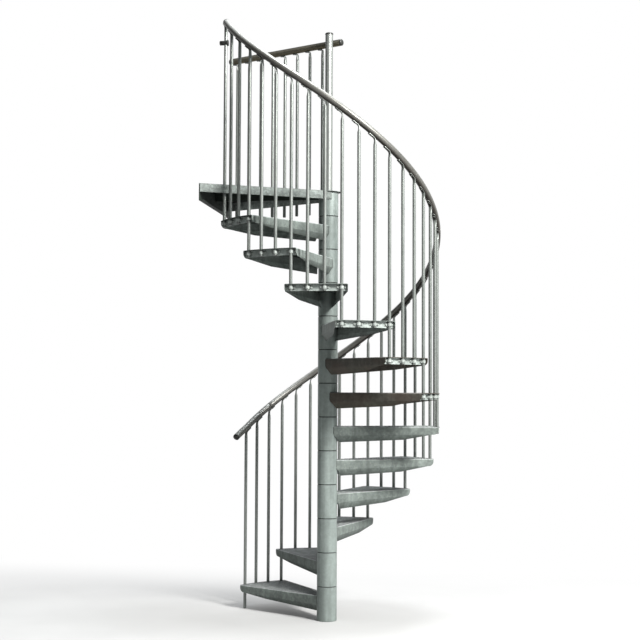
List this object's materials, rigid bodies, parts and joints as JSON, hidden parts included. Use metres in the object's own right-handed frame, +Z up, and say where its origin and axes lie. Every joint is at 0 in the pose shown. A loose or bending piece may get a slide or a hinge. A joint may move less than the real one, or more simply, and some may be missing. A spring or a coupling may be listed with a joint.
{
  "type": "spiral staircase",
  "caption": "Outdoor galvanised steel spiral staircase: pressed wedge treads stacked on a column, helical handrail on thin balusters, and a wall landing with a guard.",
  "frame": {"origin": "centre of the column's foot plate, on the ground", "axes": "+Z up along the column; -X towards the wall that the landing meets; the stair climbs clockwise seen from above"},
  "size_m": [1.4443, 1.4137, 3.7127],
  "materials": {
    "tread_sheet": "dull hot-dip galvanised sheet, mottled grey-green",
    "landing_sheet": "hot-dip galvanised sheet, light and speckled",
    "column": "hot-dip galvanised tube, soft vertical streaks",
    "rail_tube": "galvanised tube, bright on top, brownish in the shade",
    "baluster": "galvanised bar, smooth",
    "fittings": "zinc-plated clamps and caps, darker"
  },
  "bodies": {
    "root": {"foot_plate": "column", "hub_sleeves": "column", "hub_spacers": "column", "centre_pole": "rail_tube", "pole_cap": "fittings", "landing_hub": "column", "tread_01": "tread_sheet", "tread_02": "tread_sheet", "tread_03": "tread_sheet", "tread_04": "tread_sheet", "tread_05": "tread_sheet", "tread_06": "tread_sheet", "tread_07": "tread_sheet", "tread_08": "tread_sheet", "tread_09": "tread_sheet", "tread_10": "tread_sheet", "tread_11": "tread_sheet", "tread_12": "tread_sheet", "landing_sheet": "landing_sheet", "landing_front_edge": "landing_sheet", "landing_back_edge": "landing_sheet", "landing_exit_beam": "landing_sheet", "landing_rib": "landing_sheet", "balusters_lower": "baluster", "balusters_middle": "baluster", "balusters_upper": "baluster", "baluster_clamps": "fittings", "handrail_01": "rail_tube", "handrail_02": "rail_tube", "handrail_03": "rail_tube", "handrail_04": "rail_tube", "handrail_05": "rail_tube", "handrail_06": "rail_tube", "handrail_07": "rail_tube", "handrail_08": "rail_tube", "handrail_09": "rail_tube", "handrail_10": "rail_tube", "handrail_caps": "fittings", "guard_rail": "rail_tube", "guard_rail_caps": "fittings", "guard_balusters": "baluster", "guard_clamps": "fittings", "wall_tie": "fittings"}
  },
  "joints": []
}
